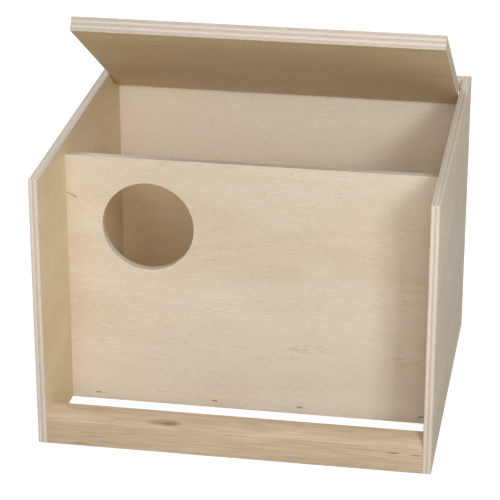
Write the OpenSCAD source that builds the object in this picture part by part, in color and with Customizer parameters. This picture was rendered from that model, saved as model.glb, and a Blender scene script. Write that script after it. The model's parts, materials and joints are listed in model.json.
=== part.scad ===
// Plywood nest box with a porch, a front rail and a hinged lid.
// Origin: centre of the footprint, on the surface it stands on.
// +X to the box's right as seen from the front, +Y to the rear, +Z up.

/* [Box] */
// Overall width, outside to outside of the side panels
box_w = 400; // [320:5:480]
// Depth of the side panels, front to back
box_d = 360; // [300:5:420]
// Height of the side panels at the front
front_h = 286; // [240:2:340]
// How much higher the side panels are at the back
rise = 10; // [0:1:20]
// Thickness of the side, front and back panels
board_t = 9; // [8:0.5:12]
// Thickness of the floor and of the lid
thick_t = 15; // [12:1:18]

/* [Front] */
// Set-back of the front panel behind the side panels' front edges
porch_d = 107; // [60:2:140]
// Diameter of the entrance hole
hole_d = 95; // [50:1:110]
// Distance of the hole's centre from the left outer face
hole_from_left = 94; // [80:1:200]
// Height of the hole's centre
hole_z = 200; // [120:1:200]
// Depth of the rail, front to back
rail_d = 22; // [15:1:30]
// Height of the rail's flat front face
rail_face_h = 27; // [15:1:40]
// How much the rail's rounded top rises behind its front face
rail_crown = 9; // [2:1:12]

/* [Lid] */
// Gap between each end of the lid and the side panel
end_gap = 2; // [1.5:0.1:4]
// Gap between the closed lid and the front panel's top edge
seat_gap = 0.3; // [0.2:0.1:1]
// Distance of the hinge axis from the back panel
hinge_back = 24; // [22:0.5:40]
// Distance of the hinge axis from the lid's rear end
hinge_inset = 21; // [16:0.5:38]
// Height of the hinge axis above the lid's underside
hinge_up = 6; // [5:0.5:10]
// How far the lid stands open in this pose, from closed
open_angle = 33; // [0:0.5:120]

/* [Hinge screws] */
// Diameter of the screw's shank
screw_d = 4; // [3:0.5:5]
// Length of the screw
screw_l = 35; // [25:5:45]
// Diameter of the countersunk head
head_d = 8; // [6:0.5:10]
// Outer diameter of the washer between lid and side panel
washer_d = 20; // [12:1:22]
// Thickness of the washer
washer_t = 1.4; // [0.8:0.1:1.5]

/* [Staples] */
// Width of a staple's crown
crown_w = 5.8; // [5:0.2:10]
// Length of a staple's legs
leg_l = 24; // [18:1:26]

/* [Hidden] */
$fn = 96;

// The footprint's corners and the planes that the boards lie on
x_out = box_w / 2;
x_in = x_out - board_t;
y_front = -box_d / 2;
y_rear = box_d / 2;
y_porch = y_front + porch_d;         // front face of the front panel
y_chamber = y_porch + board_t;       // rear face of the front panel
y_back = y_rear - board_t;           // inner face of the back panel
slope = atan(rise / box_d);          // slope of the side panels' top edges
function top_z(y) = front_h + rise * (y - y_front) / box_d;

// Lid and hinge, worked out so that the closed lid lies flush with the side panels
lid_w = 2 * (x_in - end_gap);
hinge_y = y_back - hinge_back;
hinge_z = top_z(hinge_y) - (thick_t - hinge_up) / cos(slope);
lid_l = hinge_inset + (hinge_y - y_porch) / cos(slope);
panel_h = hinge_z - hinge_up / cos(slope) - (hinge_y - y_porch) * tan(slope) - seat_gap;

// Fits and small clearances
screw_sink = 0.4;                    // head below the panel's outer face
running = 0.08;                      // radial clearance of the shank in the side panel
held = 0.02;                         // radial clearance where a part sits still
head_gap = 0.42;                     // radial clearance around the countersunk head
driver_w = 0.9;                      // width of the cross recess's arms
driver_l = 4.4;
driver_h = 1.2;
wire_w = 1.2;                        // flat staple wire
wire_t = 1.0;
staple_sink = 0.4;
slot_gap = 0.05;
eps = 0.1;

// Staple places: across the front panel and the back panel, up the side panels' joints
// and along the floor's ends
front_staple_x = [-163, -38, 52, 179];
back_staple_x = [-150, -50, 50, 150];
upright_staple_z = [50, 150, 240];
floor_staple_y = [-30, 53, 136];
rail_staple_z = 15;

ply = [0.87, 0.79, 0.66];
ply_dark = [0.80, 0.71, 0.57];
pine = [0.76, 0.67, 0.54];
brass = [0.78, 0.60, 0.36];
zinc = [0.72, 0.72, 0.70];

// ---- shapes that repeat ----

// A board that runs the inner width of the box, from a profile in Y and Z
module cross_board(w, profile)
    translate([-w / 2, 0, 0])
        rotate([90, 0, 90])
            linear_extrude(w)
                polygon(profile);

// A staple driven towards +Y from the face at Y = 0, with its crown along X
module staple(grow = 0, mouth = 0) {
    w = crown_w + 2 * grow;
    h = wire_w + 2 * grow;
    leg = wire_t + 2 * grow;
    top = mouth > 0 ? -mouth : staple_sink;
    translate([-w / 2, top, -h / 2])
        cube([w, staple_sink + wire_t + grow - top, h]);
    for (side = [-1, 1])
        translate([side * (crown_w - wire_t) / 2 - leg / 2, staple_sink + wire_t / 2, -h / 2])
            cube([leg, leg_l - wire_t / 2 + grow, h]);
}

// The slot that a staple leaves in the boards
module staple_slot()
    staple(slot_gap, eps);

module at_front_staples()
    for (x = front_staple_x)
        translate([x, y_porch, thick_t / 2])
            children();

module at_back_staples()
    for (x = back_staple_x)
        translate([x, y_rear, thick_t / 2])
            mirror([0, 1, 0])
                children();

// Staples through the left side panel, crowns in line with the board they hold
module at_left_staples() {
    for (y = floor_staple_y)
        translate([-x_out, y, thick_t / 2])
            rotate([0, 0, -90])
                children();
    for (y = [y_porch + board_t / 2, y_rear - board_t / 2], z = upright_staple_z)
        translate([-x_out, y, z])
            rotate([0, 0, -90])
                rotate([0, 90, 0])
                    children();
    translate([-x_out, y_front + rail_d / 2, rail_staple_z])
        rotate([0, 0, -90])
            rotate([0, 90, 0])
                children();
}

module at_right_staples()
    mirror([1, 0, 0])
        at_left_staples()
            children();

// Puts a shape drawn along +Z on the hinge axis, at the left outer face, pointing inwards
module at_left_hinge()
    translate([-x_out, hinge_y, hinge_z])
        rotate([0, 90, 0])
            children();

// ---- boards ----

module side_board() {
    difference() {
        translate([-x_out, 0, 0])
            rotate([90, 0, 90])
                linear_extrude(board_t)
                    polygon([[y_front, 0], [y_rear, 0],
                             [y_rear, front_h + rise], [y_front, front_h]]);
        at_left_staples()
            staple_slot();
        at_left_hinge() {
            translate([0, 0, -eps])
                cylinder(r = screw_d / 2 + running, h = board_t + 2 * eps);
            translate([0, 0, -eps])
                cylinder(r1 = head_d / 2 + head_gap + screw_sink + eps,
                         r2 = screw_d / 2 + head_gap,
                         h = (head_d - screw_d) / 2 + screw_sink + eps);
        }
    }
}

module left_side()
    color(ply) side_board();

module right_side()
    color(ply) mirror([1, 0, 0]) side_board();

module front_panel()
    color(ply)
        difference() {
            cross_board(2 * x_in, [[y_porch, 0], [y_chamber, 0],
                                   [y_chamber, panel_h], [y_porch, panel_h]]);
            translate([hole_from_left - x_out, y_chamber + eps, hole_z])
                rotate([90, 0, 0])
                    cylinder(d = hole_d, h = board_t + 2 * eps);
            at_front_staples() staple_slot();
            at_left_staples() staple_slot();
            at_right_staples() staple_slot();
        }

module back_panel()
    color(ply)
        difference() {
            cross_board(2 * x_in, [[y_back, 0], [y_rear, 0],
                                   [y_rear, top_z(y_rear)], [y_back, top_z(y_back)]]);
            at_back_staples() staple_slot();
            at_left_staples() staple_slot();
            at_right_staples() staple_slot();
        }

module floor_panel()
    color(ply)
        difference() {
            cross_board(2 * x_in, [[y_chamber, 0], [y_back, 0],
                                   [y_back, thick_t], [y_chamber, thick_t]]);
            at_front_staples() staple_slot();
            at_back_staples() staple_slot();
            at_left_staples() staple_slot();
            at_right_staples() staple_slot();
        }

// The rail's top is an arc, level at the back, that meets the front face in a crease
module front_rail() {
    arc_r = (rail_d * rail_d + rail_crown * rail_crown) / (2 * rail_crown);
    rail_h = rail_face_h + rail_crown;
    color(pine)
        difference() {
            intersection() {
                translate([-x_in, y_front, 0])
                    cube([2 * x_in, rail_d, rail_h]);
                translate([-x_in - eps, y_front + rail_d, rail_h - arc_r])
                    rotate([0, 90, 0])
                        cylinder(r = arc_r, h = 2 * (x_in + eps));
            }
            at_left_staples() staple_slot();
            at_right_staples() staple_slot();
        }
}

// ---- lid and hinge ----

module lid()
    color(ply_dark)
        difference() {
            translate([0, hinge_y, hinge_z])
                rotate([slope - open_angle, 0, 0])
                    translate([-lid_w / 2, hinge_inset - lid_l, -hinge_up])
                        cube([lid_w, lid_l, thick_t]);
            for (side = [0, 1])
                mirror([side, 0, 0])
                    at_left_hinge()
                        cylinder(r = screw_d / 2 + held, h = screw_l + 1);
        }

// Countersunk screw with a cross recess, head at Z = 0
module hinge_screw() {
    head_h = (head_d - screw_d) / 2;
    difference() {
        union() {
            cylinder(d1 = head_d, d2 = screw_d, h = head_h);
            cylinder(d = screw_d, h = screw_l);
        }
        for (turn = [0, 90])
            rotate([0, 0, turn])
                translate([-driver_l / 2, -driver_w / 2, -eps])
                    cube([driver_l, driver_w, driver_h + eps]);
    }
}

module placed_screw()
    color(zinc)
        at_left_hinge()
            translate([0, 0, screw_sink])
                hinge_screw();

module placed_washer()
    color(brass)
        at_left_hinge()
            translate([0, 0, board_t + end_gap - washer_t])
                difference() {
                    cylinder(d = washer_d, h = washer_t);
                    translate([0, 0, -eps])
                        cylinder(r = screw_d / 2 + held, h = washer_t + 2 * eps);
                }

module hinge_screw_left() placed_screw();

module hinge_screw_right() mirror([1, 0, 0]) placed_screw();

module hinge_washer_left() placed_washer();

module hinge_washer_right() mirror([1, 0, 0]) placed_washer();

// ---- staples ----

module staples_front() color(zinc) at_front_staples() staple();

module staples_back() color(zinc) at_back_staples() staple();

module staples_left() color(zinc) at_left_staples() staple();

module staples_right() color(zinc) at_right_staples() staple();

left_side();
right_side();
front_panel();
back_panel();
floor_panel();
front_rail();
lid();
hinge_screw_left();
hinge_screw_right();
hinge_washer_left();
hinge_washer_right();
staples_front();
staples_back();
staples_left();
staples_right();
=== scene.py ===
"""Plywood nest box with a porch, a front rail and a hinged lid: its boards, hardware and finishes.

Lengths are in metres. MM turns millimetres into them. Each board is drawn in its own frame:
X along the grain of its face veneers, Y across it and Z through its thickness.
"""

import json
import math

import bmesh
import bpy
from mathutils import Matrix, Vector
from mathutils.geometry import tessellate_polygon


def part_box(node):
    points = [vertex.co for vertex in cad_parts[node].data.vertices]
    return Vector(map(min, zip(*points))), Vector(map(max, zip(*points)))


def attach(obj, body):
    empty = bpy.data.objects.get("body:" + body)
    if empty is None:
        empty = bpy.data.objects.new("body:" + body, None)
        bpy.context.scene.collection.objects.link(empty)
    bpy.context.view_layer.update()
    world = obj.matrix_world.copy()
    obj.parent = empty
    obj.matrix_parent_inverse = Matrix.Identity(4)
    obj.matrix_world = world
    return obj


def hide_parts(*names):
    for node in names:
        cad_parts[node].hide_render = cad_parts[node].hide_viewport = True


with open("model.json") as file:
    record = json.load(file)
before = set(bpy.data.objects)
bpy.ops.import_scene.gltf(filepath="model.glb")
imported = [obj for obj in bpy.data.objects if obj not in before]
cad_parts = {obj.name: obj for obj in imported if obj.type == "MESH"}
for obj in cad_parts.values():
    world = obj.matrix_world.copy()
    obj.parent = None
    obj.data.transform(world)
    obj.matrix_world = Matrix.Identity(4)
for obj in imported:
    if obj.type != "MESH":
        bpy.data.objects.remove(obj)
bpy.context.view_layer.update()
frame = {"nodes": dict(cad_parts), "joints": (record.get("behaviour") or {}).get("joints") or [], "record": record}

MM = 0.001

# Plies as shares of a board's thickness, outside to outside
THIN_PLIES = (0.09, 0.33, 0.16, 0.33, 0.09)
THICK_PLIES = (0.05, 0.18, 0.18, 0.18, 0.18, 0.18, 0.05)

ARRIS = 0.45 * MM           # radius that sanding leaves on a board's edges
CORNER = 0.5 * MM           # the same at a board's corners
GLUE_DEPTH = 0.06 * MM      # how far a glue line lies below the plies
GLUE_HALF = 0.09 * MM       # half the width of a glue line
PLY_STEP = 0.02 * MM        # how unevenly the plies end at a board's edge
EPS = 0.2 * MM              # how far a cutter stands out of what it cuts
SHARP = 35                  # degrees between faces above which an edge stays sharp

# Hinge screws
SHANK = 2.0 * MM            # radius of the plain shank
THREAD_CORE = 1.35 * MM     # radius at the bottom of the thread
THREAD_PITCH = 1.8 * MM
THREAD_FROM = 12 * MM       # where the thread starts, from the top of the head
POINT = 5 * MM              # length of the tapered point
SIDE_PLAY = 0.09 * MM       # gap around the shank in a side panel
LID_PLAY = 0.03 * MM        # gap around the shank in the lid
SINK_GAP = 0.42 * MM        # how much wider than the head its countersink is
SINK_DEPTH = 0.4 * MM       # how far the head lies below the side panel's face

# Staples
STAPLE_FLAT = 1.0 * MM      # the wire's size across its bends
STAPLE_BEND = 0.5 * MM      # radius of a bend along the wire's middle

# Wood colours, linear
VENEER_LIGHT = (0.870, 0.695, 0.420, 1)
VENEER_DARK = (0.710, 0.530, 0.265, 1)
DASH_BROWN = (0.520, 0.350, 0.180, 1)
FIBRE_CREAM = (0.890, 0.740, 0.535, 1)
# A paler, greyer veneer that each board is blended towards by its own share
PALE_GREY_LIGHT = (0.800, 0.715, 0.595, 1)
PALE_GREY_DARK = (0.690, 0.590, 0.465, 1)
SIDE_GRAIN = (0.800, 0.675, 0.500, 1)
SIDE_GRAIN_DARK = (0.710, 0.585, 0.415, 1)
END_GRAIN = (0.670, 0.550, 0.400, 1)
END_GRAIN_DARK = (0.570, 0.450, 0.315, 1)
GLUE_BROWN = (0.400, 0.270, 0.150, 1)
KNOT_BROWN = (0.300, 0.150, 0.050, 1)
RAIL_LIGHT = (0.710, 0.540, 0.335, 1)
RAIL_DARK = (0.520, 0.360, 0.195, 1)


# ---------------------------------------------------------------- shader maths

class Value:
    """A number on its way through a material's nodes. Sums and products add Math nodes."""

    def __init__(self, finish, socket):
        self.finish = finish
        self.socket = socket

    def math(self, operation, *numbers):
        return self.finish.node("Math", {"operation": operation}, numbers)

    def __add__(self, other):
        return self.math("ADD", self, other)

    def __radd__(self, other):
        return self.math("ADD", other, self)

    def __sub__(self, other):
        return self.math("SUBTRACT", self, other)

    def __rsub__(self, other):
        return self.math("SUBTRACT", other, self)

    def __mul__(self, other):
        return self.math("MULTIPLY", self, other)

    def __rmul__(self, other):
        return self.math("MULTIPLY", other, self)

    def __truediv__(self, other):
        return self.math("DIVIDE", self, other)

    def __pow__(self, other):
        return self.math("POWER", self, other)

    def __abs__(self):
        return self.math("ABSOLUTE", self)

    def sine(self):
        return self.math("SINE", self)

    def least(self, other):
        return self.math("MINIMUM", self, other)

    def ramp(self, low, high):
        """0 below low, 1 above high and smooth between; low may be the larger of the two."""
        settings = {"interpolation_type": "SMOOTHSTEP"}
        if low < high:
            return self.finish.node("MapRange", settings, {0: self, 1: low, 2: high, 3: 0.0, 4: 1.0})
        return self.finish.node("MapRange", settings, {0: self, 1: high, 2: low, 3: 1.0, 4: 0.0})


class Finish:
    """A material under construction around one Principled shader."""

    def __init__(self, name, roughness=0.6, metallic=0.0):
        self.material = bpy.data.materials.new(name)
        self.material.use_nodes = True
        self.tree = self.material.node_tree
        self.shader = self.tree.nodes["Principled BSDF"]
        self.shader.inputs["Roughness"].default_value = roughness
        self.shader.inputs["Metallic"].default_value = metallic
        self.where = self.node("TexCoord", output="Object")
        self.facing = self.node("TexCoord", output="Normal")

    def node(self, kind, settings=None, values=(), output=0):
        """Adds a node of that type and returns one of its outputs."""
        made = self.tree.nodes.new("ShaderNode" + kind)
        for key, setting in (settings or {}).items():
            setattr(made, key, setting)
        pairs = values.items() if isinstance(values, dict) else enumerate(values)
        for key, value in pairs:
            self.feed(made.inputs[key], value)
        return Value(self, made.outputs[output])

    def feed(self, socket, value):
        if isinstance(value, Value):
            self.tree.links.new(value.socket, socket)
        else:
            socket.default_value = value

    def scaled(self, size, shift=(0, 0, 0)):
        """Object coordinates divided by a size per axis, so that a texture repeats at that size."""
        factors = tuple(1 / s for s in size)
        moved = self.node("VectorMath", {"operation": "ADD"}, (self.where, shift))
        return self.node("VectorMath", {"operation": "MULTIPLY"}, (moved, factors))

    def noise(self, size, shift=(0, 0, 0), detail=2.0, roughness=0.5):
        """Soft noise from 0 to 1 whose blotches have the given size along each axis."""
        values = {"Vector": self.scaled(size, shift), "Scale": 1.0, "Detail": detail,
                  "Roughness": roughness}
        return self.node("TexNoise", None, values)

    def axes(self, vector):
        parts = self.node("SeparateXYZ", None, (vector,))
        outputs = parts.socket.node.outputs
        return [Value(self, outputs[i]) for i in range(3)]

    def mix(self, low, high, factor):
        """The colour between low and high."""
        return self.node("Mix", {"data_type": "RGBA"}, {0: factor, 6: low, 7: high}, output=2)

    def bump(self, height, distance, strength=1.0):
        values = {"Height": height, "Distance": distance, "Strength": strength}
        self.feed(self.shader.inputs["Normal"], self.node("Bump", None, values))

    def finished(self, colour, roughness):
        """The material, with its colour and its roughness fed to the shader."""
        self.feed(self.shader.inputs["Base Color"], colour)
        self.feed(self.shader.inputs["Roughness"], roughness)
        return self.material


# ---------------------------------------------------------------- wood finishes

def streak(finish, place, reach, lean=0.0):
    """A mask that is 1 in the middle of a long thin mark on a board's face and fades at its rim."""
    u, v, _ = finish.axes(finish.where)
    along = (u - place[0]) / reach[0]
    across = (v - place[1] - (u - place[0]) * lean) / reach[1]
    return (along * along + across * across).ramp(1.0, 0.15)


def between(low, high, share):
    """The colour at a share of the way from low to high."""
    return tuple(a + (b - a) * share for a, b in zip(low, high))


def ply_face(name, seed, tone, pale, size, marks=(), stains=(), painted_shade_below=None):
    """Rotary-cut face veneer: soft figure, fine fibres and short dashes along X. Tone goes from a
    light to a dark veneer and pale towards a paler, greyer one. Size is the board's lowest and highest
    corner, whose rim is slightly darker from handling. Marks are small knots and streaks; stains
    are patches where the dashes are darker. Given two heights, a board's inner face, where Z points,
    gets painted shade: below the first it takes a deeper, darker veneer colour that stands for the
    shade inside the box, fading out by the second; above that it keeps the board's usual colour."""
    finish = Finish(name)
    shift = (seed * 1.7, seed * 0.9, seed * 0.31)
    u, v, _ = finish.axes(finish.where)

    clouds = finish.noise((0.22, 0.055, 0.4), shift, detail=3)
    sway = finish.noise((0.26, 0.09, 0.4), shift, detail=1)
    rings = ((v / 0.045 + sway * 7.0) * (2 * math.pi)).sine() * 0.5 + 0.5
    fibres = finish.noise((0.030, 0.0007, 0.02), shift, detail=3, roughness=0.6)
    dashes = finish.noise((0.0070, 0.00070, 0.02), shift, detail=1)
    dark_dashes = dashes.ramp(0.60, 0.72)
    light_dashes = dashes.ramp(0.40, 0.28)
    patches = finish.noise((0.09, 0.05, 0.3), shift, detail=1).ramp(0.35, 0.7)

    depth = tone + (clouds - 0.5) * 1.25 + (rings - 0.5) * 0.12 + (fibres - 0.5) * 0.70
    light = between(VENEER_LIGHT, PALE_GREY_LIGHT, pale)
    dark = between(VENEER_DARK, PALE_GREY_DARK, pale)
    colour = finish.mix(light, dark, depth)
    # Painted shade: low on the inner face, a deeper, darker veneer colour stands for the shade inside the box
    if painted_shade_below:
        shaded = finish.mix(VENEER_LIGHT, VENEER_DARK, depth + 0.45)
        _, _, nz = finish.axes(finish.facing)
        colour = finish.mix(colour, shaded, v.ramp(painted_shade_below[1], painted_shade_below[0]) * nz.ramp(0.4, 0.6))
    colour = finish.mix(colour, DASH_BROWN, dark_dashes * (patches * 0.22 + 0.20))
    colour = finish.mix(colour, FIBRE_CREAM, light_dashes * 0.48)
    for place, reach, lean, strength in marks:
        spot = streak(finish, place, reach, lean) * (fibres * 0.8 + 0.4)
        colour = finish.mix(colour, KNOT_BROWN, spot * strength)
    for place, reach, lean, strength in stains:
        spot = streak(finish, place, reach, lean) * dashes.ramp(0.47, 0.62)
        colour = finish.mix(colour, KNOT_BROWN, spot * strength)
    low, high = size
    rim = (u - low.x).least(high.x - u).least(v - low.y).least(high.y - v)
    handled = rim.ramp(3.5 * MM, 0.0) * (clouds * 0.9)
    colour = finish.mix(colour, DASH_BROWN, handled * 0.22)

    finish.bump(fibres * 0.6 + dark_dashes * -0.5 + rings * 0.15, 0.10 * MM, 0.55)
    return finish.finished(colour, fibres * 0.12 + 0.55)


def ply_edge(name, seed, cross, glue_lines):
    """The cut edge of a ply. Plies whose grain runs along X are light on edges that face Y and
    show dark end grain on edges that face X; cross plies do the opposite."""
    finish = Finish(name, roughness=0.7)
    shift = (seed * 0.7, seed * 1.3, seed * 0.17)
    _, _, w = finish.axes(finish.where)
    nx, _, _ = finish.axes(finish.facing)
    end = abs(nx).ramp(0.45, 0.75)
    if cross:
        end = 1 - end

    fibres_u = finish.noise((0.020, 0.02, 0.0005), shift, detail=2, roughness=0.6)
    speckle = finish.noise((0.0007, 0.0007, 0.0006), shift, detail=2, roughness=0.7)
    runs = finish.noise((0.009, 0.009, 0.003), shift, detail=2)
    side = finish.mix(SIDE_GRAIN, SIDE_GRAIN_DARK, (fibres_u - 0.5) * 1.4 + (runs - 0.5) * 1.2 + 0.35)
    cut = finish.mix(END_GRAIN, END_GRAIN_DARK, (speckle - 0.5) * 2.2 + (runs - 0.5) * 1.6 + 0.35)
    colour = finish.mix(side, cut, end)

    distance = abs(w - glue_lines[0])
    for line in glue_lines[1:]:
        distance = distance.least(abs(w - line))
    glue = distance.ramp(0.20 * MM, 0.05 * MM) * (runs * 0.4 + 0.10)
    colour = finish.mix(colour, GLUE_BROWN, glue)

    finish.bump(speckle * end * 0.8 + fibres_u * 0.4, 0.12 * MM, 0.6)
    return finish.finished(colour, speckle * 0.15 + 0.62)


def rail_wood(name):
    """Planed solid wood with its grain along Z: long streaks, a knot and some short dark marks."""
    finish = Finish(name)
    x, y, z = finish.axes(finish.where)
    sway = finish.noise((0.03, 0.012, 0.14), detail=2)
    rings = (((x * 0.35 + y * 0.94) / 0.010 + sway * 5.0) * (2 * math.pi)).sine() * 0.5 + 0.5
    streaks = finish.noise((0.0018, 0.0018, 0.045), detail=4, roughness=0.6)
    lines = finish.noise((0.0030, 0.0030, 0.090), (0.3, 0.1, 0.2), detail=2).ramp(0.60, 0.72)
    fibres = finish.noise((0.0006, 0.0006, 0.030), detail=2, roughness=0.6)
    pores = finish.noise((0.0005, 0.0005, 0.008), detail=1).ramp(0.60, 0.72)
    clouds = finish.noise((0.02, 0.014, 0.09), detail=2)

    figure = (rings ** 2.0) * 0.20 + (streaks - 0.5) * 1.9
    depth = figure + (fibres - 0.5) * 0.8 + (clouds - 0.5) * 1.0 + 0.36
    colour = finish.mix(RAIL_LIGHT, RAIL_DARK, depth)
    colour = finish.mix(colour, DASH_BROWN, lines * 0.30)
    colour = finish.mix(colour, DASH_BROWN, pores * 0.28)

    # Marks: share of the length, height, half length, half height and strength
    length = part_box("front_rail")[1].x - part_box("front_rail")[0].x
    for share, rise, reach, height, strength in (
            (0.332, 0.0306, 0.0105, 0.0016, 0.98), (0.316, 0.0311, 0.0220, 0.0024, 0.62),
            (0.925, 0.0207, 0.0085, 0.0011, 0.98), (0.983, 0.0198, 0.0062, 0.0011, 0.98),
            (0.860, 0.0222, 0.0400, 0.0006, 0.30), (0.095, 0.0030, 0.0120, 0.0024, 0.35),
            (0.710, 0.0010, 0.0110, 0.0014, 0.35), (0.560, 0.0180, 0.0500, 0.0007, 0.22)):
        along = (z - share * length) / reach
        up = (y - rise - (z - share * length) * 0.02) / height
        spot = (along * along + up * up).ramp(1.0, 0.1) * (fibres * 0.9 + 0.35)
        colour = finish.mix(colour, KNOT_BROWN, spot * strength)

    _, _, nz = finish.axes(finish.facing)
    speckle = finish.noise((0.0008, 0.0008, 0.0008), detail=2)
    colour = finish.mix(colour, finish.mix(END_GRAIN, END_GRAIN_DARK, speckle), abs(nz).ramp(0.6, 0.8))
    finish.bump(fibres * 0.7 + pores * -0.5, 0.12 * MM, 0.6)
    return finish.finished(colour, fibres * 0.15 + 0.50)


# ---------------------------------------------------------------- metal finishes

def metal(name, light, dark, roughness, scratch, tarnish=0.35):
    """Plain metal: fine scratches, cloudy tarnish and a roughness that follows both."""
    finish = Finish(name, metallic=1.0)
    fine = finish.noise(scratch, detail=3, roughness=0.7)
    cloud = finish.noise((3 * MM, 3 * MM, 3 * MM), detail=3)
    colour = finish.mix(light, dark, (cloud - 0.5) * 1.6 + tarnish)
    finish.bump(fine, 0.02 * MM, 0.35)
    return finish.finished(colour, (fine - 0.5) * 0.3 + (cloud - 0.5) * 0.2 + roughness)


def brass_finish():
    return metal("washer_brass", (0.98, 0.76, 0.58, 1), (0.80, 0.50, 0.30, 1), 0.36,
                 (0.25 * MM, 0.25 * MM, 0.25 * MM))


def zinc_finish():
    return metal("screw_zinc", (0.74, 0.74, 0.72, 1), (0.50, 0.50, 0.47, 1), 0.34,
                 (0.3 * MM, 0.3 * MM, 0.3 * MM))


def wire_finish():
    return metal("staple_wire", (0.50, 0.41, 0.30, 1), (0.33, 0.25, 0.16, 1), 0.50,
                 (0.2 * MM, 0.2 * MM, 2 * MM))


# ---------------------------------------------------------------- measuring the CAD nodes

def points_of(node, place=None):
    """A CAD node's vertices, in the row frame or seen from another frame."""
    back = place.inverted() if place else Matrix.Identity(4)
    return [back @ v.co for v in frame["nodes"][node].data.vertices]


def span(points):
    """Lowest and highest corner of some points."""
    low = Vector([min(p[i] for p in points) for i in range(3)])
    high = Vector([max(p[i] for p in points) for i in range(3)])
    return low, high


def height_at(node, y):
    """Top of a CAD node at one distance along Y."""
    return max(p.z for p in points_of(node) if abs(p.y - y) < 0.01 * MM)


def solids_of(node):
    """Corners of each separate solid in a CAD node."""
    mesh = frame["nodes"][node].data
    keys = [tuple(round(c / (0.001 * MM)) for c in v.co) for v in mesh.vertices]
    leader = {key: key for key in keys}

    def top(key):
        while leader[key] != key:
            key = leader[key]
        return key

    for face in mesh.polygons:
        first = top(keys[face.vertices[0]])
        for index in face.vertices[1:]:
            leader[top(keys[index])] = first
    groups = {}
    for key, vertex in zip(keys, mesh.vertices):
        groups.setdefault(top(key), []).append(vertex.co)
    corners = [span(points) for points in groups.values()]
    return sorted(corners, key=lambda pair: tuple(round(c, 6) for c in pair[0]))


# ---------------------------------------------------------------- shapes

def axes_matrix(origin, x, y, z):
    """The frame with that origin and those axes."""
    turn = Matrix((x, y, z)).transposed().to_4x4()
    return Matrix.Translation(origin) @ turn


def rounded(corners, radii, steps=4):
    """Points and outward normals of a convex outline, anticlockwise, with an arc at each corner."""
    outline = []
    count = len(corners)
    for i, corner in enumerate(corners):
        corner = Vector(corner)
        back = (corner - Vector(corners[i - 1])).normalized()
        ahead = (Vector(corners[(i + 1) % count]) - corner).normalized()
        turn = back.angle_signed(ahead) * -1
        normal = Vector((back.y, -back.x))
        radius = radii[i] if isinstance(radii, (list, tuple)) else radii
        centre = corner - back * radius * math.tan(turn / 2) - normal * radius
        for k in range(steps + 1):
            angle = turn * k / steps
            out = Vector((normal.x * math.cos(angle) - normal.y * math.sin(angle),
                          normal.x * math.sin(angle) + normal.y * math.cos(angle)))
            outline.append((centre + out * radius, out))
    return outline


def ring_hole(centre, radius, count=96):
    """Points of a round hole with normals that point out of the wood, towards the hole's middle."""
    turns = [2 * math.pi * k / count for k in range(count)]
    dirs = [Vector((math.cos(a), math.sin(a))) for a in turns]
    return [(Vector(centre) + d * radius, -d) for d in dirs]


def ply_levels(thickness, shares):
    """Heights through a board with how far its edge is drawn in there, and the ply above each.
    Both faces have a rounded arris and each glue line a shallow groove."""
    turns = [math.pi / 2 * k / 4 for k in range(5)]
    bend = [(ARRIS * (1 - math.cos(t)), ARRIS * (1 - math.sin(t))) for t in turns]
    levels = [(height, inset, 0) for height, inset in bend]
    height = 0.0
    for ply, share in enumerate(shares[:-1]):
        height += share * thickness
        levels += [(height - GLUE_HALF, PLY_STEP * (ply % 3), ply), (height, GLUE_DEPTH, ply + 1),
                   (height + GLUE_HALF, PLY_STEP * ((2 * ply + 2) % 3), ply + 1)]
    last = len(shares) - 1
    levels += [(thickness - height, inset, last) for height, inset in reversed(bend)]
    return levels


def glue_heights(thickness, shares):
    """Heights of the glue lines through a board."""
    return [thickness * sum(shares[:i]) for i in range(1, len(shares))]


def new_piece(name, mesh, place, materials, smooth_below=SHARP):
    """An object from a mesh, shaded smooth but for its sharp edges."""
    for material in materials:
        mesh.materials.append(material)
    mesh.polygons.foreach_set("use_smooth", [True] * len(mesh.polygons))
    mesh.set_sharp_from_angle(angle=math.radians(smooth_below))
    piece = bpy.data.objects.new(name, mesh)
    piece.matrix_world = place
    bpy.context.scene.collection.objects.link(piece)
    return piece


def mesh_of(name, bm):
    """The mesh that was built up in bm, which is then freed."""
    mesh = bpy.data.meshes.new(name)
    bm.to_mesh(mesh)
    bm.free()
    return mesh


def skinned(name, bm, rings, closed=False):
    """A mesh whose faces join each ring of corners in bm to the next. Both ends are capped, or
    with closed the last ring joins the first."""
    pairs = list(zip(rings, rings[1:]))
    if closed:
        pairs.append((rings[-1], rings[0]))
    for low, high in pairs:
        for i in range(len(low)):
            j = (i + 1) % len(low)
            bm.faces.new((low[i], low[j], high[j], high[i]))
    if not closed:
        bm.faces.new(rings[0][::-1])
        bm.faces.new(rings[-1])
    bmesh.ops.recalc_face_normals(bm, faces=bm.faces)
    return mesh_of(name, bm)


def slab_mesh(name, outline, levels, holes=(), slot_of=lambda ply: 0):
    """A closed slab: outlines stacked through its thickness, with flat faces at both ends. Its
    edge faces take the material slot that slot_of gives for their ply, and the flat faces slot 0."""
    bm = bmesh.new()
    loops = [outline] + list(holes)
    rings = [[[bm.verts.new((*(point - normal * inset), height)) for point, normal in loop]
              for loop in loops] for height, inset, _ in levels]
    for (low, high, level) in zip(rings, rings[1:], levels):
        for loop, (below, above) in enumerate(zip(low, high)):
            count = len(below)
            for i in range(count):
                corners = [below[i], below[(i + 1) % count], above[(i + 1) % count], above[i]]
                face = bm.faces.new(corners if loop == 0 else corners[::-1])
                face.material_index = slot_of(level[2])
    for ends, upward in ((rings[0], False), (rings[-1], True)):
        flat = [v for loop in ends for v in loop]
        for tri in tessellate_polygon([[v.co for v in loop] for loop in ends]):
            corners = [flat[i] for i in tri]
            normal = (corners[1].co - corners[0].co).cross(corners[2].co - corners[0].co)
            bm.faces.new(corners if (normal.z > 0) == upward else corners[::-1])
    bm.normal_update()
    return mesh_of(name, bm)


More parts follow.
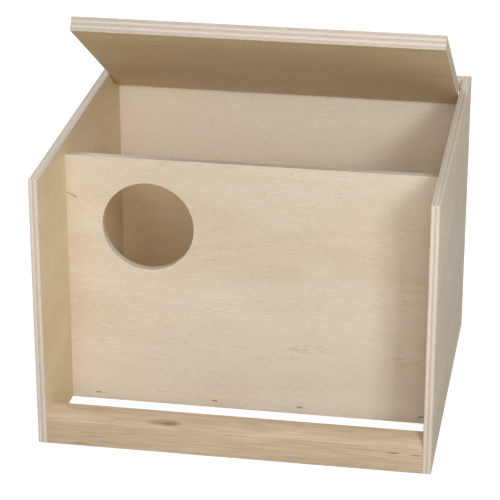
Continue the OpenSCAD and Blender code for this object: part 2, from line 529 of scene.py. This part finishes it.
def turned(name, rows, segments=48, radius_at=None, closed=False):
    """A shape turned about Z from (height, radius) rows. radius_at(height, radius, turn) can
    shape it further. A closed loop of rows makes a ring; otherwise both ends are capped."""
    bm = bmesh.new()
    turns = [2 * math.pi * k / segments for k in range(segments)]
    shape = radius_at or (lambda height, radius, turn: radius)
    rings = [[bm.verts.new((shape(h, r, a) * math.cos(a), shape(h, r, a) * math.sin(a), h))
              for a in turns] for h, r in rows]
    return skinned(name, bm, rings, closed)


def cut(piece, cutters):
    """Cuts solids out of a piece and leaves it a plain mesh."""
    scene = bpy.context.scene.collection
    for tool in cutters:
        scene.objects.link(tool)
        modifier = piece.modifiers.new("cut", "BOOLEAN")
        modifier.operation = "DIFFERENCE"
        modifier.solver = "EXACT"
        modifier.object = tool
    graph = bpy.context.evaluated_depsgraph_get()
    mesh = bpy.data.meshes.new_from_object(piece.evaluated_get(graph))
    piece.modifiers.clear()
    old = piece.data
    piece.data = mesh
    bpy.data.meshes.remove(old)
    for tool in cutters:
        scene.objects.unlink(tool)
    mesh.set_sharp_from_angle(angle=math.radians(SHARP))


def cutter(mesh, place):
    """A solid to cut with, which is never part of the scene itself."""
    made = bpy.data.objects.new("cutter", mesh)
    made.matrix_world = place
    return made


# ---------------------------------------------------------------- hardware

X, Y, Z = Vector((1, 0, 0)), Vector((0, 1, 0)), Vector((0, 0, 1))
STAPLE_GROUPS = {"staples_front": Y, "staples_back": -Y, "staples_left": X, "staples_right": -X}


def staple_frames(node, inward):
    """For each staple of a group: its frame, crown width, leg length and wire width. The frame's
    origin is at the crown's top, X runs along the crown and Y the way that the legs point."""
    found = []
    for low, high in solids_of(node):
        size = high - low
        middle = (low + high) / 2
        into = max(range(3), key=lambda i: abs(inward[i]))
        others = sorted((i for i in range(3) if i != into), key=lambda i: size[i])
        crown = Vector([1.0 if i == others[1] else 0.0 for i in range(3)])
        origin = middle - inward * (size[into] / 2)
        place = axes_matrix(origin, crown, inward, crown.cross(inward))
        found.append((place, size[others[1]], size[into], size[others[0]]))
    return found


def bent_wire(width, length, wire):
    """A staple as a bar bent twice, with rounded bends and chisel-cut tips."""
    bm = bmesh.new()
    half = width / 2 - STAPLE_FLAT / 2   # from the staple's middle to the middle of a leg
    path = [(-half, length, -X)]
    for side in (-1, 1):
        steps = 4
        for k in range(steps + 1):
            angle = math.pi / 2 * (k / steps if side < 0 else 1 - k / steps)
            out = Vector((side * math.cos(angle), -math.sin(angle), 0))
            centre = Vector((side * (half - STAPLE_BEND), STAPLE_FLAT / 2 + STAPLE_BEND, 0))
            point = centre + out * STAPLE_BEND
            path.append((point.x, point.y, out))
    path.append((half, length, X))
    rings = []
    for number, (x, y, out) in enumerate(path):
        tip = 0.35 if number in (0, len(path) - 1) else 1.0
        corners = []
        for a, b in ((-1, -1), (1, -1), (1, 1), (-1, 1)):
            for da, db in ((0.72, 1.0), (1.0, 0.72)) if a * b > 0 else ((1.0, 0.72), (0.72, 1.0)):
                corners.append(Vector((x, y, 0)) + out * (a * da * STAPLE_FLAT / 2 * tip)
                               + Z * (b * db * wire / 2))
        rings.append([bm.verts.new(c) for c in corners])
    return skinned("wire", bm, rings)


def staple_dent(width, wire):
    """The mouth that a staple's crown punches into a face, a little wider at the surface."""
    room = 0.12 * MM
    half_w, half_h = width / 2 + room, wire / 2 + room
    corners = [(-half_w, -half_h), (half_w, -half_h), (half_w, half_h), (-half_w, half_h)]
    outline = rounded(corners, 0.5 * MM, 3)
    levels = [(-1.45 * MM, 0.0, 0), (0.1 * MM, 0.0, 0), (0.5 * MM, -0.15 * MM, 0),
              (1.2 * MM, -0.5 * MM, 0)]
    mesh = slab_mesh("dent", outline, levels)
    mesh.transform(Matrix.Rotation(math.radians(90), 4, "X"))
    return mesh


def staple_cutters(groups):
    """Cutters for the mouths of every staple in some groups, each 0.4 mm above its crown."""
    made = []
    for node in groups:
        for place, width, _, wire in staple_frames(node, STAPLE_GROUPS[node]):
            made.append(cutter(staple_dent(width, wire), place))
    return made


def joined(name, parts, material):
    """One mesh from (mesh, frame) parts, in the row frame."""
    bm = bmesh.new()
    for mesh, place in parts:
        mesh.transform(place)
        bm.from_mesh(mesh)
        bpy.data.meshes.remove(mesh)
    return new_piece(name, mesh_of(name, bm), Matrix.Identity(4), [material])


def make_staples(material):
    for node, inward in STAPLE_GROUPS.items():
        parts = [(bent_wire(width, length, wire), place)
                 for place, width, length, wire in staple_frames(node, inward)]
        piece = joined(node.replace("staples", "staple_row"), parts, material)
        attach(piece, "box")
        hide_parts(node)


def hinge_frame(node, side):
    """Frame of a part on the hinge axis: origin at its outer end, Z pointing into the box."""
    low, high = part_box(node)
    middle = (low + high) / 2
    origin = Vector((low.x if side < 0 else high.x, middle.y, middle.z))
    inward = X * -side
    return axes_matrix(origin, Y, inward.cross(Y), inward), low, high


def cross_recess():
    """Cutter for a cross recess: a cross outline that narrows towards its bottom."""
    arm, half = 2.3 * MM, 0.48 * MM
    quarter = [(arm, -half), (arm, half), (half, half)]
    points = []
    for turn in range(4):
        c, s = round(math.cos(turn * math.pi / 2)), round(math.sin(turn * math.pi / 2))
        points += [(x * c - y * s, x * s + y * c) for x, y in quarter]
    bm = bmesh.new()
    levels = ((-EPS, 1.0), (0.2 * MM, 0.96), (1.7 * MM, 0.42), (2.1 * MM, 0.12))
    rings = [[bm.verts.new((x * k, y * k, h)) for x, y in points] for h, k in levels]
    return skinned("recess", bm, rings)


def make_screw(node, side, material):
    """Countersunk wood screw: flat head with a cross recess, plain shank and a cut thread."""
    place, low, high = hinge_frame(node, side)
    length = high.x - low.x
    head = (high.z - low.z) / 2
    cone = head - SHANK

    def threaded(height, radius, turn):
        """The radius with the thread cut in, which fades out at both of its ends."""
        if height < THREAD_FROM or height > length - 0.3 * MM:
            return radius
        phase = (height / THREAD_PITCH - turn / (2 * math.pi)) % 1.0
        crest = max(0.0, 1 - abs(phase - 0.5) / 0.28)
        fade = min(1.0, (height - THREAD_FROM) / (2 * MM), (length - height) / POINT)
        core = min(radius, THREAD_CORE + (SHANK - THREAD_CORE) * (1 - fade))
        return core + (radius - core) * crest

    rows = [(0.0, head - 0.35 * MM), (0.06 * MM, head - 0.12 * MM), (0.22 * MM, head),
            (0.40 * MM, head - 0.05 * MM), (cone, SHANK + 0.08 * MM), (cone + 0.5 * MM, SHANK),
            (THREAD_FROM, SHANK)]
    count = int((length - POINT - THREAD_FROM) / (THREAD_PITCH / 8))
    rows += [(THREAD_FROM + (k + 1) * THREAD_PITCH / 8, SHANK) for k in range(count)]
    start = rows[-1][0]
    taper = 24
    rows += [(start + (length - start) * k / taper, max(0.15 * MM, SHANK * (1 - k / taper) ** 0.8))
             for k in range(1, taper + 1)]
    mesh = turned(node, rows, 32, threaded)
    piece = new_piece(node.replace("hinge_screw", "lid_screw"), mesh, place, [material], 40)
    cut(piece, [cutter(cross_recess(), place)])
    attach(piece, "lid")
    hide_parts(node)


def make_washer(node, side, material):
    """Stamped washer: its outer rim is rounded more on the face towards the side panel."""
    place, low, high = hinge_frame(node, side)
    thick, outer, inner = high.x - low.x, (high.z - low.z) / 2, 2.04 * MM
    soft = 0.3 * MM
    rows = [(0.0, inner + soft / 2), (0.0, outer - soft * 1.6), (0.08 * MM, outer - soft * 0.6),
            (soft, outer - 0.05 * MM), (soft * 1.8, outer), (thick - soft / 2, outer),
            (thick, outer - soft / 2), (thick, inner + soft / 2), (thick - soft / 2, inner),
            (soft / 2, inner)]
    mesh = turned(node, rows, 72, closed=True)
    piece = new_piece(node.replace("hinge_washer", "lid_washer"), mesh, place, [material], 25)
    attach(piece, "lid")
    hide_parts(node)


# ---------------------------------------------------------------- boards

def edge_finishes(name, seed, thickness, shares):
    """The finishes of a board's edge: long plies in the first, cross plies in the second."""
    lines = glue_heights(thickness, shares)
    return [ply_edge(name + "_long_ply", seed, False, lines),
            ply_edge(name + "_cross_ply", seed + 0.5, True, lines)]


def make_board(node, name, body, place, corners, shares, seed, tone, pale, holes=(),
               marks=(), stains=(), cutters=(), painted_shade_below=None):
    """A plywood board from its corners in its own frame, which stands for a CAD node."""
    low, high = span(points_of(node, place))
    thickness = high.z - low.z
    outline = rounded(corners, CORNER)
    mesh = slab_mesh(name, outline, ply_levels(thickness, shares), holes,
                     slot_of=lambda ply: 1 + ply % 2)
    face = ply_face(name + "_face", seed, tone, pale, (low, high), marks, stains, painted_shade_below)
    materials = [face] + edge_finishes(name, seed, thickness, shares)
    piece = new_piece(name, mesh, place, materials)
    if cutters:
        cut(piece, cutters)
    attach(piece, body)
    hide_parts(node)


def hinge_cutters(side):
    """Cutters along the hinge axis: the running hole with its countersink, and the hole in the
    lid. Heights are measured from the top of the screw's head."""
    place, low, high = hinge_frame("hinge_screw_left" if side < 0 else "hinge_screw_right", side)
    head, cone = (high.z - low.z) / 2, (high.z - low.z) / 2 - SHANK
    bore = [(-SINK_DEPTH - EPS, head + SINK_GAP + SINK_DEPTH + EPS), (cone, SHANK + SINK_GAP),
            (cone + SINK_GAP, SHANK + SIDE_PLAY), (12 * MM, SHANK + SIDE_PLAY)]
    depth = high.x - low.x + 0.8 * MM
    lid_hole = [(8 * MM, SHANK + LID_PLAY), (depth, SHANK + LID_PLAY)]
    return cutter(turned("bore", bore, 64), place), cutter(turned("lid_hole", lid_hole, 48), place)


def make_side(node, name, side, seed, pale, bore):
    """A side panel, whose top edge rises to the rear. Its frame is X to the rear, Y up, Z to the
    right."""
    low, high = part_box(node)
    depth = high.y - low.y
    corners = [(0, 0), (depth, 0), (depth, height_at(node, high.y)), (0, height_at(node, low.y))]
    place = axes_matrix(low, Y, Z, X)
    group = "staples_left" if side < 0 else "staples_right"
    make_board(node, name, "box", place, corners, THIN_PLIES, seed, 0.38, pale,
               cutters=staple_cutters([group]) + [bore])


def make_front_panel():
    """The front panel, with the entrance hole. Its frame is X to the right, Y up, Z forwards."""
    low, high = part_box("front_panel")
    place = axes_matrix(Vector((low.x, high.y, low.z)), X, Z, -Y)
    width, height = high.x - low.x, high.z - low.z
    entrance = [m for m in frame["record"]["mounts"] if m["name"] == "entrance_hole"][0]
    centre = place.inverted() @ Vector(entrance["pos_m"])
    hole = ring_hole(centre.xy, entrance["dims"]["r_mm"] * MM)
    marks = (((0.0060, height - 0.0430), (0.0068, 0.0014), -0.42, 0.60),
             ((0.0095, height - 0.0452), (0.0030, 0.0010), -0.30, 0.75),
             ((0.2326, height - 0.0062), (0.0009, 0.0012), 0.0, 0.60))
    stains = (((0.2520, 0.0750), (0.0300, 0.0055), 0.05, 0.24),
              ((0.3480, 0.0690), (0.0240, 0.0080), 0.05, 0.20),
              ((0.1700, 0.1180), (0.0700, 0.0110), 0.12, 0.10))
    corners = [(0, 0), (width, 0), (width, height), (0, height)]
    make_board("front_panel", "front_board", "box", place, corners, THIN_PLIES,
               3.1, 0.66, 0.50, [hole], marks, stains, staple_cutters(["staples_front"]))


def make_back_panel():
    """The back panel. Its top edge slopes with the side panels, so it is a quarter of a millimetre
    higher at the outer face; the board is drawn square, to the lower of the two."""
    low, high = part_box("back_panel")
    place = axes_matrix(Vector((low.x, high.y, low.z)), X, Z, -Y)
    width, height = high.x - low.x, height_at("back_panel", low.y) - low.z
    corners = [(0, 0), (width, 0), (width, height), (0, height)]
    marks = (((0.121, height - 0.040), (0.0010, 0.012), 0.0, 0.12),)
    # The back panel's inner face gets painted shade: a deeper veneer colour below half its height, fading out by
    # two thirds of it, for the shade inside the box
    make_board("back_panel", "back_board", "box", place, corners, THIN_PLIES,
               5.3, 0.0, 0.35, marks=marks, cutters=staple_cutters(["staples_back"]),
               painted_shade_below=(height * 0.50, height * 0.66))


def make_floor():
    """The floor, flush with the base. Its frame is the row frame's, moved to its corner."""
    low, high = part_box("floor_panel")
    place = axes_matrix(low, X, Y, Z)
    width, depth = high.x - low.x, high.y - low.y
    corners = [(0, 0), (width, 0), (width, depth), (0, depth)]
    make_board("floor_panel", "floor_board", "box", place, corners, THICK_PLIES,
               7.7, 0.15, 0.0)


def lid_frame():
    """The lid's own frame on the hinge axis, turned to the angle at which it stands open."""
    joint = frame["joints"][0]
    low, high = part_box("left_side")
    rise = height_at("left_side", high.y) - height_at("left_side", low.y)
    tilt = math.atan2(rise, high.y - low.y) + math.radians(joint["range_deg"][0])
    return Matrix.Translation(joint["pos_m"]) @ Matrix.Rotation(tilt, 4, "X")


def make_lid(holes):
    """The lid. Its frame is X to the right, Y down its slope to the rear, Z out of its top."""
    turned_frame = lid_frame()
    low, high = span(points_of("lid", turned_frame))
    place = turned_frame @ Matrix.Translation(low)
    width, depth = high.x - low.x, high.y - low.y
    corners = [(0, 0), (width, 0), (width, depth), (0, depth)]
    make_board("lid", "lid_board", "lid", place, corners, THICK_PLIES,
               9.2, 0.55, 0.12, cutters=holes)


def make_rail():
    """The rail, drawn as its section in Y and Z and run along X: flat front, crease, arched top."""
    low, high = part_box("front_rail")
    depth, height = high.y - low.y, high.z - low.z
    crease = height_at("front_rail", low.y) - low.z
    crown = height - crease
    radius = (depth ** 2 + crown ** 2) / (2 * crown)
    steps = 14
    reach = math.asin(depth / radius)
    turns = [reach * k / steps for k in range(steps + 1)]
    arch = [(depth - radius * math.sin(t), height - radius * (1 - math.cos(t))) for t in turns]
    corners = [(0, 0), (depth, 0)] + arch
    soft = [0.6 * MM] * 3 + [0.02 * MM] * (steps - 1) + [0.9 * MM]
    outline = rounded(corners, soft, 3)
    length = high.x - low.x
    levels = [(0.0, ARRIS, 0), (ARRIS * 0.3, ARRIS * 0.3, 0), (ARRIS, 0.0, 0)]
    levels += [(length * k / 24, 0.0, 0) for k in range(1, 24)]
    levels += [(length - level, inset, 0) for level, inset, _ in reversed(levels[:3])]
    mesh = slab_mesh("rail_bar", outline, levels)
    place = axes_matrix(low, Y, Z, X)
    piece = new_piece("rail_bar", mesh, place, [rail_wood("rail_wood")], 25)
    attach(piece, "box")
    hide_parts("front_rail")


# ---------------------------------------------------------------- camera, light and floor

def look_from(target, azimuth, elevation, distance):
    """Frame of a thing that looks at target from a direction: azimuth 0 is the box's front."""
    a, e = math.radians(azimuth), math.radians(elevation)
    away = Vector((math.sin(a) * math.cos(e), -math.cos(a) * math.cos(e), math.sin(e)))
    place = Vector(target) + away * distance
    return Matrix.Translation(place) @ away.to_track_quat("Z", "Y").to_matrix().to_4x4()


def add_camera():
    """The camera: above the box's front, a little to the right, with a long lens."""
    data = bpy.data.cameras.new("camera")
    data.sensor_width = 36
    data.lens = 158.4
    data.clip_start, data.clip_end = 0.05, 60
    camera = bpy.data.objects.new("camera", data)
    camera.matrix_world = look_from((-0.0043, -0.0501, 0.1724), 9.87, 22.96, 2.26)
    bpy.context.scene.collection.objects.link(camera)
    bpy.context.scene.camera = camera


def add_softbox(name, azimuth, elevation, distance, size, power, colour):
    """A rectangular light that faces the box from a direction. Its power is in watts."""
    data = bpy.data.lights.new(name, "AREA")
    data.shape = "RECTANGLE"
    data.size, data.size_y = size
    data.energy = power
    data.color = colour
    light = bpy.data.objects.new(name, data)
    light.matrix_world = look_from((0, 0, 0.15), azimuth, elevation, distance)
    bpy.context.scene.collection.objects.link(light)


def add_light():
    """Soft studio light: a small key light that casts the side panels' shadows, large lights at
    the front, right and rear, one that reaches down into the box, and a faint even light."""
    cool, mild = (0.92, 0.995, 1.20), (0.93, 0.99, 1.14)
    add_softbox("key", 28, 25, 2.6, (0.55, 0.55), 24, cool)
    add_softbox("front", 1, 26, 3.0, (1.6, 1.7), 32, cool)
    add_softbox("high", 18, 48, 3.0, (0.9, 0.7), 9.5, (0.94, 0.995, 1.10))
    add_softbox("right", 84, 22, 3.0, (1.6, 1.6), 5, (0.82, 0.98, 1.30))
    add_softbox("rear_right", 135, 38, 3.2, (2.0, 1.6), 22, mild)
    add_softbox("rear_left", 222, 34, 3.2, (2.0, 1.6), 56, mild)
    world = bpy.data.worlds.new("studio")
    world.use_nodes = True
    world.node_tree.nodes["Background"].inputs["Color"].default_value = (0.98, 0.99, 1.03, 1)
    world.node_tree.nodes["Background"].inputs["Strength"].default_value = 0.17
    bpy.context.scene.world = world


def stage_finish(name, glow, shade):
    """A plain colour that glows white by some amount, so that a shadow on it stays faint."""
    finish = Finish(name, roughness=0.9)
    finish.shader.inputs["Base Color"].default_value = (*shade, 1)
    finish.shader.inputs["Emission Color"].default_value = (1, 1, 1, 1)
    finish.shader.inputs["Emission Strength"].default_value = glow
    finish.shader.inputs["Specular IOR Level"].default_value = 0.0
    return finish.material


def stage_disc(name, height, material):
    """A wide flat disc with its top at some height."""
    disc = new_piece(name, turned(name, [(height - 0.02, 9.0), (height, 9.0)], 96),
                     Matrix.Identity(4), [material])
    return disc


def seen_only(piece):
    """Keeps a stage piece out of the lighting, so that only the camera sees it."""
    piece.visible_diffuse = False
    piece.visible_glossy = False
    piece.visible_shadow = False


def add_stage():
    """A white floor and a backdrop dome that only the camera sees, and under the floor a plain
    disc that only reflects light up at the box."""
    floor_white = stage_finish("floor_white", 0.84, (0.30, 0.30, 0.30))
    seen_only(stage_disc("stage_floor", -0.2 * MM, floor_white))
    bounce = stage_disc("stage_bounce", -40 * MM, stage_finish("bounce_cream", 0.0, (0.46, 0.39, 0.27)))
    bounce.visible_camera = False
    rises = [math.radians(t) for t in range(-20, 89, 6)]
    rows = [(11.0 * math.sin(t), 11.0 * math.cos(t)) for t in rises]
    dome = new_piece("stage_dome", turned("dome", rows, 48), Matrix.Identity(4),
                     [stage_finish("backdrop_white", 1.05, (0, 0, 0))])
    seen_only(dome)


# ---------------------------------------------------------------- the whole scene

def build():
    bpy.context.scene.view_settings.view_transform = "Standard"
    add_camera()
    left_bore, left_hole = hinge_cutters(-1)
    right_bore, right_hole = hinge_cutters(1)
    make_side("left_side", "left_board", -1, seed=1.3, pale=0.0, bore=left_bore)
    make_side("right_side", "right_board", 1, seed=2.4, pale=0.65, bore=right_bore)
    make_front_panel()
    make_back_panel()
    make_floor()
    make_lid([left_hole, right_hole])
    make_rail()
    zinc, brass = zinc_finish(), brass_finish()
    for side, end in ((-1, "left"), (1, "right")):
        make_screw("hinge_screw_" + end, side, zinc)
        make_washer("hinge_washer_" + end, side, brass)
    make_staples(wire_finish())
    add_light()
    add_stage()


build()
